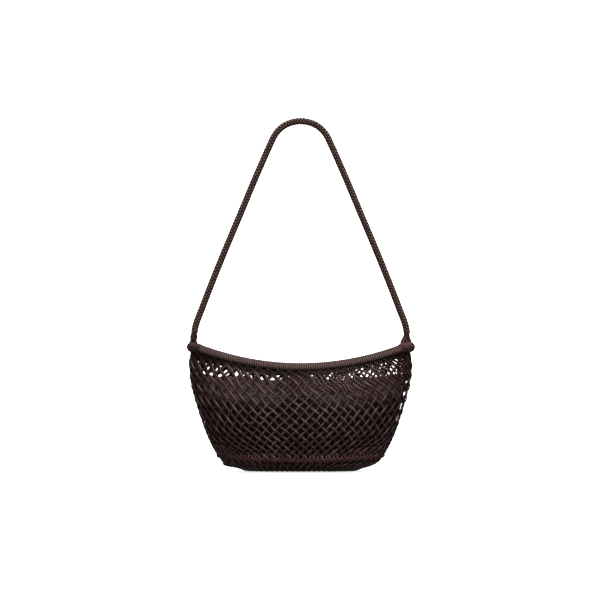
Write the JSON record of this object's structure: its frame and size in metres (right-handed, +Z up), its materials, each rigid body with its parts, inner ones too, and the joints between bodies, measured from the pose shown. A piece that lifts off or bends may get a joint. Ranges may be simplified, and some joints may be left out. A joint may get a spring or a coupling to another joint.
{
  "type": "netted shoulder bag",
  "caption": "Small shoulder bag of open diamond leather net with a bound rim, flat base, soft inner pouch and a round braided strap, shown hanging by the strap.",
  "frame": {"origin": "underside of the strap's top, in the middle, where a hook or a shoulder holds the bag", "axes": "+X along the bag's length, to the right as seen from its front; +Y from front to back; +Z up"},
  "size_m": [0.3, 0.1006, 0.4643],
  "materials": {
    "cord_leather": "waxed round leather cord",
    "bound_leather": "fine leather lace, bound close",
    "pouch_cloth": "soft matt cloth"
  },
  "bodies": {
    "root": {"strap": "cord_leather", "strap_foot_left": "cord_leather", "strap_foot_right": "cord_leather", "end_wrap_left": "bound_leather", "end_wrap_right": "bound_leather", "rim": "bound_leather", "net_body": "cord_leather", "base_seam": "cord_leather", "base_net": "cord_leather", "inner_pouch": "pouch_cloth"}
  },
  "joints": []
}
